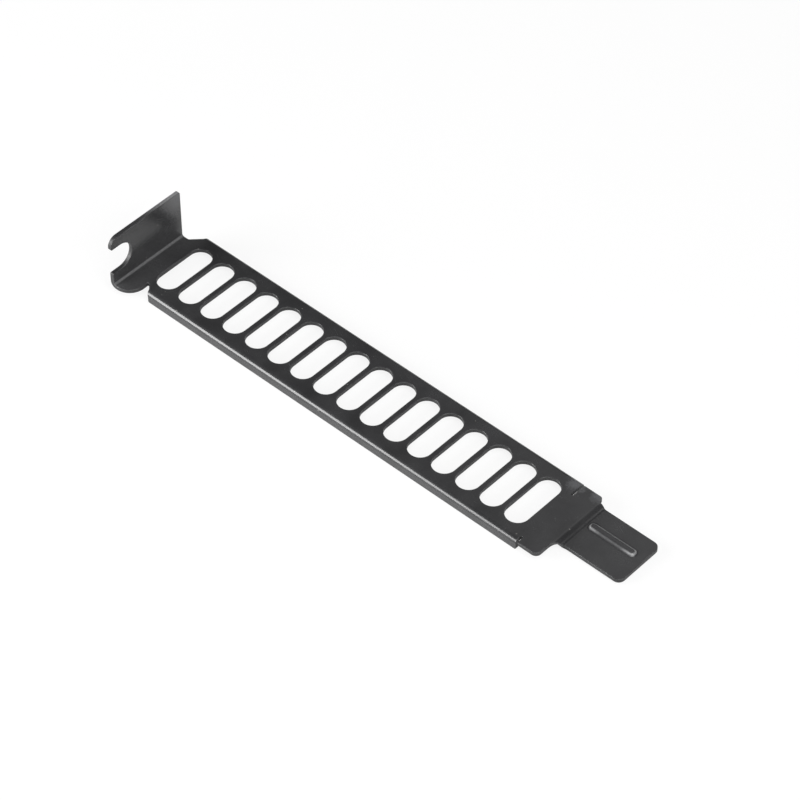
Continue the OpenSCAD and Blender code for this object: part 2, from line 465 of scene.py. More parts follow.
@dataclass(frozen=True)
class Fold:
    """Carries points of the flat blank to the folded cover.

    The face stays where it is, and u on it is the distance from the tab's seat. The
    middle of the sheet keeps its length in every bend.
    """

    sheet: SteelSheet
    face_z: float
    half_width: float
    shoulder_end: float
    set_back: float
    near_zone: float
    far_zone: float
    zone_end: float
    bend_steps: int = 10
    # Painted highlight along the middle of the tab's bend, and faint painted light on the sheet beside it.
    bend_light_reach: float = 6.0
    bend_light_beside: float = 0.11
    bend_light_in_bend: float = 0.48

    @property
    def tab_middle_r(self) -> float:
        """Radius of the sheet's middle in the bend below the tab."""
        return self.sheet.middle_r(self.sheet.tab_bend_r)

    @property
    def tab_bend_start(self) -> float:
        """Where the tab's bend starts along the blank."""
        return self.sheet.tab_bend_r - self.tab_middle_r * QUARTER_TURN

    @property
    def flange_middle_r(self) -> float:
        """Radius of the sheet's middle in the flanges' bends."""
        return self.sheet.middle_r(self.sheet.flange_bend_r)

    @property
    def flange_bend_v(self) -> float:
        """Distance from the centre line at which the flanges' bends start."""
        return self.half_width - self.sheet.flange_bend_r - self.sheet.thickness

    @property
    def flange_leg_v(self) -> float:
        """Distance in the flat from the centre line to the flanges' straight legs."""
        return self.flange_bend_v + self.flange_middle_r * QUARTER_TURN

    @property
    def set_back_middle_r(self) -> float:
        """Radius of the sheet's middle in the set-back bends."""
        return self.sheet.middle_r(self.sheet.set_back_bend_r)

    @property
    def set_back_angle(self) -> float:
        """Angle of each of the two set-back bends."""
        return math.acos(1 - self.set_back / (2 * self.set_back_middle_r))

    @property
    def set_back_arc(self) -> float:
        """Length of each set-back bend along the sheet's middle."""
        return self.set_back_middle_r * self.set_back_angle

    def tab_u(self, height: float) -> float:
        """Returns the place along the blank of a height up the tab."""
        return self.tab_bend_start - (height - self.sheet.tab_bend_r)

    def tongue_u(self, x: float) -> float:
        """Returns the place along the blank of a place on the tongue."""
        run = 2 * self.set_back_middle_r * math.sin(self.set_back_angle)
        return x + 2 * self.set_back_arc - run

    def rows(self) -> np.ndarray:
        """Lays out the fold lines across the cover.

        Returns:
            The places along the blank where the sheet is turned a step.
        """
        middle = self.shoulder_end + self.set_back_arc
        steps = self.bend_steps + 1
        return np.concatenate(
            [
                np.linspace(self.tab_bend_start, self.sheet.tab_bend_r, steps),
                np.linspace(self.shoulder_end, middle, steps),
                np.linspace(middle, middle + self.set_back_arc, steps)[1:],
            ]
        )

    def columns(self) -> np.ndarray:
        """Returns the places across the blank where the flanges are turned a step."""
        side = np.linspace(self.flange_bend_v, self.flange_leg_v, self.bend_steps + 1)
        return np.concatenate([-side[::-1], side])

    def bend_light(self, flat: np.ndarray) -> np.ndarray:
        """Works out the painted highlight along the tab's bend, and the faint painted light beside it.

        Args:
            flat: Points in the blank, one row each.

        Returns:
            The painted light at each point: the most in the middle of the bend, and faint beside it.
        """
        middle = (self.tab_bend_start + self.sheet.tab_bend_r) / 2
        away = np.abs(flat[:, 0] - middle)
        in_bend = self.bend_light_in_bend * (1 - (away / (self.sheet.tab_bend_r - middle)) ** 2)
        beside = self.bend_light_beside * (1 - (away / self.bend_light_reach) ** 2)
        return np.clip(np.maximum(in_bend, beside), 0, 1)

    def _side_path(self, u: np.ndarray) -> tuple[np.ndarray, np.ndarray, np.ndarray]:
        """Follows the strip in side view.

        Args:
            u: Places along the blank.

        Returns:
            x and z of the sheet's middle, and the angle that it heads at.
        """
        half = self.sheet.thickness / 2
        bend_r = self.sheet.tab_bend_r
        r = self.set_back_middle_r
        angle = self.set_back_angle
        turned = np.clip((u - self.tab_bend_start) / self.tab_middle_r, 0, QUARTER_TURN)
        down = np.clip((u - self.shoulder_end) / r, 0, angle)
        back = np.clip((u - self.shoulder_end) / r - angle, 0, angle)
        past_face = np.maximum(u - self.shoulder_end - 2 * self.set_back_arc, 0)
        x = bend_r - self.tab_middle_r * np.cos(turned)
        x += np.clip(u, bend_r, self.shoulder_end) - bend_r
        x += r * (np.sin(down) + math.sin(angle) - np.sin(angle - back)) + past_face
        z = bend_r - self.tab_middle_r * np.sin(turned)
        z += np.maximum(self.tab_bend_start - u, 0)
        z -= r * (1 - np.cos(down)) + r * (np.cos(angle - back) - math.cos(angle))
        heading = turned - QUARTER_TURN - down + back
        return x, z, heading

    def carry(self, flat: np.ndarray, lift: np.ndarray, facing: np.ndarray) -> tuple:
        """Folds points of the blank.

        Args:
            flat: Places in the blank, u and v.
            lift: Height of each point over the sheet's middle.
            facing: Normals in the blank, along u, v and up.

        Returns:
            The points and their normals, in millimetres in the cover's frame.
        """
        x, z, heading = self._side_path(flat[:, 0])
        nothing = np.zeros(len(flat))
        v = flat[:, 1]
        zone_start = np.where(v < 0, self.near_zone, self.far_zone)
        bent = (flat[:, 0] > zone_start) & (flat[:, 0] < self.zone_end)
        side = np.sign(v)
        r = self.flange_middle_r
        turn = np.where(bent, np.clip((np.abs(v) - self.flange_bend_v) / r, 0, QUARTER_TURN), 0)
        leg = np.where(bent, np.maximum(np.abs(v) - self.flange_leg_v, 0), 0)
        flat_v = np.where(bent, np.clip(v, -self.flange_bend_v, self.flange_bend_v), v)
        y = flat_v + side * r * np.sin(turn)
        z = z - r * (1 - np.cos(turn)) - leg
        along = np.stack([np.cos(heading), nothing, np.sin(heading)], axis=1)
        up = np.stack([-np.sin(heading), nothing, np.cos(heading)], axis=1)
        up = np.where(turn[:, None] > 0, np.stack([nothing, side * np.sin(turn), np.cos(turn)], 1), up)
        across = np.stack([nothing, np.cos(turn), -side * np.sin(turn)], axis=1)
        points = np.stack([x, y, z + self.face_z], axis=1) + up * lift[:, None]
        normals = facing[:, :1] * along + facing[:, 1:2] * across + facing[:, 2:] * up
        return points, normals / np.linalg.norm(normals, axis=1)[:, None]


# --- The mesh of the folded sheet ---


@dataclass(frozen=True)
class EdgeProfile:
    """Section of a cut edge: rounded at the outer face, straight, rounded at the inner one."""

    sheet: SteelSheet
    steps: int = 4

    def stations(self) -> list[tuple[float, float, float, float]]:
        """Lays out the section.

        Returns:
            From the top, each point's inset and height, and its normal's outward and upward parts.
        """
        half = self.sheet.thickness / 2
        found = []
        for sign, r in ((1, self.sheet.outer_edge_r), (-1, self.sheet.inner_edge_r)):
            turns = np.linspace(0, QUARTER_TURN, self.steps + 1)[::sign]
            for turn in turns:
                inset = r * (1 - math.sin(turn))
                height = sign * (half - r * (1 - math.cos(turn)))
                found.append((inset, height, math.sin(turn), sign * math.cos(turn)))
        return found

    @property
    def wall(self) -> int:
        """Index of the station where the straight cut wall starts."""
        return self.steps


@dataclass
class SheetMesh:
    """Fills the outlines of the blank with triangles, adds the cut edges, and folds it."""

    outlines: list[Outline]
    profile: EdgeProfile
    fold: Fold
    tongue: Tongue
    grid_step: float = 0.85
    rib_step: float = 0.14
    second_ring: float = 0.36
    ring_slack: float = 0.01
    clear_of_edge: float = 0.52
    clear_of_line: float = 0.4
    same_place: float = 1e-5
    parts: list[np.ndarray] = field(default_factory=list)

    @staticmethod
    def ring_gap(rings: list[np.ndarray], places: np.ndarray, batch: int = 2000) -> np.ndarray:
        """Measures how far places lie inside closed rings.

        Args:
            rings: The rings' points, the outer one and those of the slots.
            places: Places in the blank, one row each.
            batch: How many places are measured at once, which only limits the memory used.

        Returns:
            The distance to the nearest ring, negative where there is no metal.
        """
        starts = np.concatenate(rings)
        ends = np.concatenate([np.roll(ring, -1, axis=0) for ring in rings])
        run = ends - starts
        length2 = (run * run).sum(1)
        found = np.empty(len(places))
        for i in range(0, len(places), batch):
            part = places[i : i + batch, None, :]
            share = np.clip(((part - starts) * run).sum(2) / length2, 0, 1)
            away = np.linalg.norm(part - (starts + share[..., None] * run), axis=2).min(1)
            above = (starts[:, 1] > part[:, :, 1]) != (ends[:, 1] > part[:, :, 1])
            rise = np.where(run[:, 1] == 0, 1, run[:, 1])
            crossing = starts[:, 0] + (part[:, :, 1] - starts[:, 1]) / rise * run[:, 0]
            inside = (above & (part[:, :, 0] < crossing)).sum(1) % 2 == 1
            found[i : i + batch] = np.where(inside, away, -away)
        return found

    def edge_gap(self, places: np.ndarray) -> np.ndarray:
        """Returns each place's distance to the nearest outline, negative where there is no metal."""
        return self.ring_gap([o.points for o in self.outlines], places)

    @staticmethod
    def _crossings(rows: np.ndarray, columns: np.ndarray) -> np.ndarray:
        """Returns the places where rows and columns cross."""
        return np.stack(np.meshgrid(rows, columns, indexing="ij"), axis=2).reshape(-1, 2)

    def _spaced(self, low: float, high: float, lines: np.ndarray) -> np.ndarray:
        """Spaces places evenly, with the fold lines among them.

        Args:
            low: The first place.
            high: The end that the places stay below.
            lines: The fold lines' places.

        Returns:
            The places in order.
        """
        even = np.arange(low, high, self.grid_step)
        gap = np.abs(even[:, None] - lines[None, :]).min(1)
        clear = gap > self.grid_step * self.clear_of_line
        return np.sort(np.concatenate([even[clear], lines]))

    def _grid(self) -> np.ndarray:
        """Lays out the places inside the blank that the faces are built on.

        Returns:
            The places: a coarse grid, a fine one round the rib, and a ring beside each edge.
        """
        low = self.outlines[0].points.min(0)
        high = self.outlines[0].points.max(0)
        rows = self._spaced(low[0], high[0], self.fold.rows())
        columns = self._spaced(low[1], high[1], self.fold.columns())
        coarse = self._crossings(rows, columns)
        first, last, v = self.tongue.rib_line(self.fold)
        reach = self.tongue.rib_w / 2 + 2 * self.rib_step
        fine_rows = np.arange(first - reach, last + reach, self.rib_step)
        fine = self._crossings(fine_rows, np.arange(v - reach, v + reach, self.rib_step))
        by_rib = (coarse[:, 0] > first - reach) & (coarse[:, 0] < last + reach)
        by_rib &= np.abs(coarse[:, 1] - v) < reach
        grid = np.concatenate([coarse[~by_rib], fine])
        grid = grid[self.edge_gap(grid) > self.clear_of_edge]
        ring = np.concatenate([o.inset(self.second_ring) for o in self.outlines])
        ring = ring[self.edge_gap(ring) > self.second_ring - self.ring_slack]
        return np.concatenate([grid, ring])

    def _fill(self, inside: np.ndarray) -> list[tuple[int, int, int]]:
        """Triangulates the blank inside its rounded edges.

        Args:
            inside: Places inside the blank. They follow the outlines' points.

        Returns:
            Triangles as indices into the outlines' points and then inside.
        """
        rim = [o.inset(self.profile.sheet.outer_edge_r) for o in self.outlines]
        places = np.concatenate(rim + [inside])
        edges, start = [], 0
        for ring in rim:
            count = len(ring)
            edges.extend((start + i, start + (i + 1) % count) for i in range(count))
            start += count
        made = delaunay_2d_cdt([Vector(p) for p in places], edges, [], 0, self.same_place)
        origin = [found[0] if found else -1 for found in made[3]]
        triangles = np.array([[origin[i] for i in face] for face in made[2]])
        triangles = triangles[(triangles >= 0).all(1)]
        keep = self.ring_gap(rim, places[triangles].mean(1)) > 0
        return [tuple(int(i) for i in row) for row in triangles[keep]]

    def _add(self, flat: np.ndarray, lift: float, facing: np.ndarray, gap: np.ndarray) -> int:
        """Adds points to the mesh.

        Args:
            flat: Their places in the blank.
            lift: Their height over the sheet's middle.
            facing: Their normals in the blank.
            gap: Their distances to the nearest edge.

        Returns:
            The index of the first.
        """
        start = sum(len(part) for part in self.parts)
        self.parts.append(np.column_stack([flat, np.full(len(flat), lift), facing, gap]))
        return start

    def build(self, name: str) -> Object:
        """Builds the folded sheet.

        Args:
            name: Name of the piece.

        Returns:
            The new object, with a slot index for faces and for cut walls.
        """
        stations = self.profile.stations()
        rings = []
        for inset, height, outward, upward in stations:
            starts = []
            for outline in self.outlines:
                count = len(outline.points)
                facing = np.column_stack([outline.normals * outward, np.full(count, upward)])
                starts.append(self._add(outline.inset(inset), height, facing, np.zeros(count)))
            rings.append(starts)
        faces, finishes = self._rim_faces(rings)
        inside = self._grid()
        triangles = self._fill(inside)
        gap = self.edge_gap(inside)
        rim_count = sum(len(o.points) for o in self.outlines)
        for station, sign in ((0, 1), (len(stations) - 1, -1)):
            facing = np.tile([0.0, 0.0, float(sign)], (len(inside), 1))
            first_inside = self._add(inside, stations[station][1], facing, gap)
            index = list(range(rings[station][0], rings[station][0] + rim_count))
            index.extend(range(first_inside, first_inside + len(inside)))
            faces.extend(tuple(index[i] for i in triangle[::sign]) for triangle in triangles)
        finishes.extend([Finish.FACE.value] * (len(faces) - len(finishes)))
        return self._make_object(name, faces, finishes)

    def _rim_faces(self, rings: list[list[int]]) -> tuple[list, list]:
        """Joins the rings of the cut edges.

        Args:
            rings: For each station of the section, the first point's index in each outline.

        Returns:
            The faces of the cut edges, and the finish of each.
        """
        faces, finishes = [], []
        for station in range(len(rings) - 1):
            finish = Finish.CUT_EDGE if station == self.profile.wall else Finish.FACE
            for number, outline in enumerate(self.outlines):
                count = len(outline.points)
                upper, lower = rings[station][number], rings[station + 1][number]
                for i in range(count):
                    j = (i + 1) % count
                    faces.append((upper + i, lower + i, lower + j, upper + j))
                    finishes.append(finish.value)
        return faces, finishes

    def _make_object(self, name: str, faces: list, finishes: list[int]) -> Object:
        """Folds the points and makes the piece.

        Args:
            name: The piece's name.
            faces: Its faces, as indices of points.
            finishes: The material slot of each face.

        Returns:
            The new object.
        """
        table = np.concatenate(self.parts)
        flat, lift, facing, gap = table[:, :2], table[:, 2], table[:, 3:6], table[:, 6]
        height, slope = self.tongue.rib_rise(flat, self.fold)
        facing[:, :2] -= slope * facing[:, 2:]
        points, normals = self.fold.carry(flat, lift + height, facing)
        mesh = bpy.data.meshes.new(name)
        mesh.from_pydata((points * MM).tolist(), [], faces)
        mesh.polygons.foreach_set("material_index", finishes)
        mesh.shade_smooth()
        mesh.normals_split_custom_set_from_vertices(normals.tolist())
        # Painted highlights round the rib's crest and along the tab's bend, with faint painted light beside
        # the bend, kept to the outer face.
        painted_light = np.maximum(self.tongue.crest_highlight(flat, self.fold), self.fold.bend_light(flat))
        stored = (
            (Mark.EDGE_GAP, "FLOAT", "value", gap),
            (Mark.BLANK_PLACE, "FLOAT_VECTOR", "vector", table[:, :3]),
            (Mark.PAINTED_LIGHT, "FLOAT", "value", painted_light * (lift > 0)),
        )
        for mark, kind, part, values in stored:
            attribute = mesh.attributes.new(mark.value, kind, "POINT")
            attribute.data.foreach_set(part, values.astype(np.float32).ravel())
        mesh.update()
        return put_in_scene(name, mesh)


# --- Shader helpers and shared effects ---


class Noise(NamedTuple):
    """A noise texture's scale, its detail and its roughness."""

    scale: float
    detail: float = 2.0
    rough: float = 0.5


class Mottle(NamedTuple):
    """A noise texture, the band of its values that a smooth step spans, and what that gives."""

    noise: Noise
    band: tuple[float, float]
    to: tuple[float, float] = (0.0, 1.0)


class NodeBench:
    """Short calls that add and join the nodes of one shader tree."""

    def __init__(self, tree: NodeTree) -> None:
        """Keeps the tree that nodes are added to."""
        self.tree = tree

    def add(self, kind: str, **settings: object) -> Node:
        """Adds a node.

        Args:
            kind: The node's type name, without its ShaderNode prefix.
            settings: Properties to set on it.

        Returns:
            The new node.
        """
        node = self.tree.nodes.new("ShaderNode" + kind)
        for name, value in settings.items():
            setattr(node, name, value)
        return node

    def join(self, source: object, socket: NodeSocket) -> None:
        """Feeds one socket.

        Args:
            source: The socket that feeds it, a value to set on it, or None to leave it.
            socket: The socket to feed.
        """
        if isinstance(source, NodeSocket):
            self.tree.links.new(source, socket)
        elif source is not None:
            socket.default_value = source

    def feed(self, node: Node, *sources: object, **named: object) -> Node:
        """Feeds a node's inputs.

        Args:
            node: The node.
            sources: What feeds its first inputs, in order.
            named: What feeds others, by their names with underscores for spaces.

        Returns:
            The same node.
        """
        for source, socket in zip(sources, node.inputs):
            self.join(source, socket)
        for label, source in named.items():
            self.join(source, node.inputs[label.replace("_", " ")])
        return node

    def math(self, operation: str, a: object, b: object = None, clamp: bool = False) -> NodeSocket:
        """Returns the result of a Math node."""
        return self.feed(self.add("Math", operation=operation, use_clamp=clamp), a, b).outputs[0]

    def most(self, *values: object) -> NodeSocket:
        """Returns the highest of several values."""
        return reduce(lambda a, b: self.math("MAXIMUM", a, b), values)

    def weighed(self, a: NodeSocket, b: NodeSocket, share: float) -> NodeSocket:
        """Returns the sum of a by share and b by the rest of it."""
        return self.math("ADD", self.math("MULTIPLY", a, share), self.math("MULTIPLY", b, 1 - share))

    def stretch(self, vector: object, scale: tuple[float, float, float]) -> NodeSocket:
        """Returns a vector scaled along each axis."""
        return self.feed(self.add("VectorMath", operation="MULTIPLY"), vector, scale).outputs[0]

    def noise(self, vector: object, kind: Noise) -> NodeSocket:
        """Returns the value of a noise texture, about MIDDLE_NOISE on average."""
        node = self.feed(self.add("TexNoise"), Scale=kind.scale, Detail=kind.detail, Roughness=kind.rough)
        return self.feed(node, Vector=vector).outputs["Fac"]

    def span(
        self, value: object, band: tuple[object, object], to: tuple[float, float] = (0.0, 1.0)
    ) -> NodeSocket:
        """Steps a value smoothly from one range to another.

        Args:
            value: The value.
            band: The range that it is taken from.
            to: The range that it is carried to.

        Returns:
            The new value.
        """
        node = self.feed(self.add("MapRange", interpolation_type="SMOOTHSTEP"), Value=value)
        self.feed(node, From_Min=band[0], From_Max=band[1], To_Min=to[0], To_Max=to[1])
        return node.outputs["Result"]

    def mottle(self, vector: object, kind: Mottle) -> NodeSocket:
        """Returns patches of uneven strength."""
        return self.span(self.noise(vector, kind.noise), kind.band, kind.to)

    def blend(self, share: object, a: object, b: object) -> NodeSocket:
        """Returns colour a mixed to colour b by share."""
        return self.feed(self.add("Mix", data_type="RGBA"), Factor=share, A=a, B=b).outputs["Result"]

    def mark(self, name: Mark, output: str) -> NodeSocket:
        """Returns a value that is stored on the sheet's points."""
        return self.add("Attribute", attribute_name=name.value).outputs[output]

    def end_with(self, kind: str, share: NodeSocket, first: Node, second: Node) -> None:
        """Ends the tree with the first shader, mixed to the second by share."""
        mixed = self.feed(self.add("MixShader"), share, first.outputs[0], second.outputs[0])
        self.feed(self.add(kind), Surface=mixed.outputs[0])


class EffectGroup:
    """A surface effect that finishes share, as one node group with named sockets."""

    name: str
    inputs: dict[str, str]
    outputs: dict[str, str] = {"Mask": "Float"}

    def __init__(self) -> None:
        """Builds the node group once."""
        self.tree = bpy.data.node_groups.new(self.name, "ShaderNodeTree")
        for direction, sockets in (("INPUT", self.inputs), ("OUTPUT", self.outputs)):
            for label, kind in sockets.items():
                self.tree.interface.new_socket(label, in_out=direction, socket_type="NodeSocket" + kind)
        self.bench = NodeBench(self.tree)
        self.given = self.tree.nodes.new("NodeGroupInput").outputs
        end = self.tree.nodes.new("NodeGroupOutput")
        for label, socket in self.draw().items():
            self.bench.join(socket, end.inputs[label])

    def draw(self) -> dict[str, NodeSocket]:
        """Draws the effect's nodes and returns what each output shows."""
        raise NotImplementedError

    def place(self, bench: NodeBench, **values: object) -> dict[str, NodeSocket]:
        """Places the group in a material, fed by input names, and returns its outputs by name."""
        node = bench.feed(bench.add("Group", node_tree=self.tree), **values)
        return {socket.name: socket for socket in node.outputs}

    def mask(self, bench: NodeBench, **values: object) -> NodeSocket:
        """Places the group in a material and returns its mask."""
        return self.place(bench, **values)["Mask"]


class CoatSkin(EffectGroup):
    """A baked coat: slow drift of tone, fine grain and a shallow orange peel."""

    name = "coat_skin"
    inputs = {"Place": "Vector", "Deep": "Color", "Pale": "Color", "Roughness": "Float", "Drift": "Float"}
    outputs = {"Color": "Color", "Roughness": "Float", "Height": "Float"}
    slow = Noise(0.16, 3.0)
    peel = Noise(1.9, 2.0, 0.4)
    grain = Noise(11.0, 3.0, 0.65)
    slow_share = 0.55
    peel_share = 0.7
    tone_band = (0.36, 0.64)

    def draw(self) -> dict[str, NodeSocket]:
        """Draws the coat's tone, its roughness and its relief.

        Returns:
            What each output shows.
        """
        bench, given = self.bench, self.given
        slow = bench.noise(given["Place"], self.slow)
        peel = bench.noise(given["Place"], self.peel)
        grain = bench.noise(given["Place"], self.grain)
        tone = bench.span(bench.weighed(slow, grain, self.slow_share), self.tone_band)
        uneven = bench.math("SUBTRACT", bench.math("ADD", slow, grain), 2 * MIDDLE_NOISE)
        change = bench.math("MULTIPLY", uneven, given["Drift"])
        return {
            "Color": bench.blend(tone, given["Deep"], given["Pale"]),
            "Roughness": bench.math("ADD", given["Roughness"], change, clamp=True),
            "Height": bench.weighed(peel, grain, self.peel_share),
        }


class EdgeRub(EffectGroup):
    """Where handling has dulled the coat along the edges."""

    name = "edge_rub"
    inputs = {"Place": "Vector", "Edge Gap": "Float", "Reach": "Float", "Amount": "Float"}
    patch = Mottle(Noise(0.35, 4.0, 0.6), (0.44, 0.66), (0.0, 0.7))
    nick = Mottle(Noise(3.2, 3.0, 0.7), (0.5, 0.72), (0.0, 0.5))

    def draw(self) -> dict[str, NodeSocket]:
        """Draws a band along the edges, broken up by noise.

        Returns:
            What each output shows.
        """
        bench, given = self.bench, self.given
        band = bench.span(given["Edge Gap"], (given["Reach"], 0.0))
        patch = bench.mottle(given["Place"], self.patch)
        broken = bench.math("ADD", patch, bench.mottle(given["Place"], self.nick))
        shown = bench.math("MULTIPLY", band, broken)
        return {"Mask": bench.math("MULTIPLY", shown, given["Amount"], clamp=True)}


class HairScratches(EffectGroup):
    """Sparse hair scratches that run in two directions."""

    name = "hair_scratches"
    inputs = {"Place": "Vector", "Amount": "Float"}
    bearings = (25.0, -62.0)
    centres = ((0.0, 3.0, 0.0), (7.0, 3.0, 0.0))
    seldom = (Mottle(Noise(0.22, 1.0), (0.55, 0.68)), Mottle(Noise(0.29, 1.0), (0.55, 0.68)))
    stretched = (0.09, 2.4, 0.5)
    wave = Noise(1.0, 1.0, 0.4)
    half_line = 0.006

    def draw(self) -> dict[str, NodeSocket]:
        """Draws thin lines where a stretched noise passes its middle value.

        Returns:
            What each output shows.
        """
        bench, place = self.bench, self.given["Place"]
        lines = []
        for bearing, centre, seldom in zip(self.bearings, self.centres, self.seldom):
            turned = bench.add("VectorRotate", rotation_type="Z_AXIS")
            bench.feed(turned, Vector=place, Center=centre, Angle=math.radians(bearing))
            drawn = bench.noise(bench.stretch(turned.outputs[0], self.stretched), self.wave)
            off_line = bench.math("ABSOLUTE", bench.math("SUBTRACT", drawn, MIDDLE_NOISE))
            thin = bench.span(off_line, (self.half_line, 0.0))
            lines.append(bench.math("MULTIPLY", thin, bench.mottle(place, seldom)))
        return {"Mask": bench.math("MULTIPLY", bench.most(*lines), self.given["Amount"], clamp=True)}


class DustSpecks(EffectGroup):
    """Small pale specks of dust, each in its own cell."""

    name = "dust_specks"
    inputs = {"Place": "Vector", "Density": "Float", "Amount": "Float"}
    dusty_cells = (0.72, 1.0)
    speck_radii = (0.0, 0.11)

    def draw(self) -> dict[str, NodeSocket]:
        """Draws round specks of uneven size in some of the cells.

        Returns:
            What each output shows.
        """
        bench, given = self.bench, self.given
        cells = bench.add("TexVoronoi", feature="F1")
        bench.feed(cells, Vector=given["Place"], Scale=given["Density"])
        apart = bench.feed(bench.add("SeparateColor"), cells.outputs["Color"])
        radius = bench.span(apart.outputs[0], self.dusty_cells, self.speck_radii)
        speck = bench.math("LESS_THAN", cells.outputs["Distance"], radius)
        return {"Mask": bench.math("MULTIPLY", speck, given["Amount"], clamp=True)}


class PaleCornerPatch(EffectGroup):
    """A dull, paler patch that fades out from one corner of the blank; at the tab's corner it is painted
    light.
    """

    name = "pale_corner_patch"
    inputs = {"Place": "Vector", "Corner": "Vector", "Reach": "Float", "Amount": "Float"}
    wander = Noise(0.8, 3.0, 0.6)
    wander_reach = 2.0
    full_within = 0.3
    fine = Mottle(Noise(4.5, 4.0, 0.7), (0.36, 0.62), (0.4, 1.15))

    def draw(self) -> dict[str, NodeSocket]:
        """Draws the patch with an uneven border.

        Returns:
            What each output shows.
        """
        bench, given = self.bench, self.given
        away = bench.add("VectorMath", operation="DISTANCE")
        bench.feed(away, given["Place"], given["Corner"])
        wander = bench.math("SUBTRACT", bench.noise(given["Place"], self.wander), MIDDLE_NOISE)
        gap = bench.math("ADD", away.outputs["Value"], bench.math("MULTIPLY", wander, self.wander_reach))
        faded = bench.span(gap, (given["Reach"], self.full_within))
        patch = bench.math("MULTIPLY", faded, bench.mottle(given["Place"], self.fine))
        return {"Mask": bench.math("MULTIPLY", patch, given["Amount"], clamp=True)}


class ShearMarks(EffectGroup):
    """Fine marks that a punch leaves down a cut wall."""

    name = "shear_marks"
    inputs = {"Place": "Vector"}
    outputs = {"Height": "Float", "Mask": "Float"}
    stretched = (9.0, 9.0, 0.9)
    mark = Noise(1.0, 3.0, 0.6)
    torn = Mottle(Noise(2.2), (0.42, 0.62))

    def draw(self) -> dict[str, NodeSocket]:
        """Draws marks that are long through the sheet and short along the edge.

        Returns:
            What each output shows.
        """
        bench, place = self.bench, self.given["Place"]
        drawn = bench.noise(bench.stretch(place, self.stretched), self.mark)
        return {"Height": drawn, "Mask": bench.math("MULTIPLY", bench.mottle(place, self.torn), drawn)}


@dataclass(frozen=True)
class SharedEffects:
    """The effect groups, each built once."""

    skin: CoatSkin
    rub: EdgeRub
    scratches: HairScratches
    specks: DustSpecks
    pale_patch: PaleCornerPatch
    shear: ShearMarks

    @classmethod
    def built(cls) -> "SharedEffects":
        """Builds every group."""
        return cls(CoatSkin(), EdgeRub(), HairScratches(), DustSpecks(), PaleCornerPatch(), ShearMarks())


# --- Finishes ---

Colour = tuple[float, float, float, float]


@dataclass(frozen=True)
class PalePatch:
    """A dulled patch: its place from a corner of the blank, how far it reaches and how strong it is."""

    u: float
    v: float
    reach: float
    amount: float

    def beside(self, u: float, v: float) -> "PalePatch":
        """Returns the patch moved to its place beside a corner of the blank."""
        return replace(self, u=u + self.u, v=v + self.v)


@dataclass(frozen=True)
class SheetCoat:
    """A coat on part of the sheet, with the looks that every coat of it has."""

    effects: SharedEffects
    pale_patches: tuple[PalePatch, ...]
    name: str
    deep: Colour
    pale: Colour
    # Paler tone of rub marks and patches, and of painted highlights and reflections.
    rubbed_and_highlight: Colour
    roughness: float
    drift: float
    ior: float
    relief: float
    relief_depth: float

    def make(self) -> Material:
        """Makes the material.

        Returns:
            The new material.
        """
        material = bpy.data.materials.new(self.name)
        material.use_nodes = True
        bench = NodeBench(material.node_tree)
        shader = material.node_tree.nodes["Principled BSDF"]
        place = bench.mark(Mark.BLANK_PLACE, "Vector")
        skin = self.effects.skin.place(
            bench, Place=place, Deep=self.deep, Pale=self.pale, Roughness=self.roughness, Drift=self.drift
        )
        colour, roughness, height = self.wear_and_painted_light(bench, place, skin)
        bump = bench.feed(bench.add("Bump"), Strength=self.relief, Distance=self.relief_depth, Height=height)
        bench.feed(shader, Base_Color=colour, Roughness=roughness, IOR=self.ior)
        bench.feed(shader, Normal=bump.outputs["Normal"])
        return material

    def wear_and_painted_light(
        self, bench: NodeBench, place: NodeSocket, skin: dict[str, NodeSocket]
    ) -> tuple[NodeSocket, NodeSocket, NodeSocket]:
        """Returns the coat's colour, roughness and height once it is marked, aged and given its painted
        light.
        """
        raise NotImplementedError

    def pale_patch_masks(self, bench: NodeBench, place: NodeSocket) -> list[NodeSocket]:
        """Draws the coat's paler patches; those at the tab's corner are painted light.

        Args:
            bench: The material's bench.
            place: Each point's place in the blank.

        Returns:
            The mask of each patch.
        """
        masks = []
        for patch in self.pale_patches:
            values = {"Corner": (patch.u, patch.v, 0.0), "Reach": patch.reach, "Amount": patch.amount}
            masks.append(self.effects.pale_patch.mask(bench, Place=place, **values))
        return masks


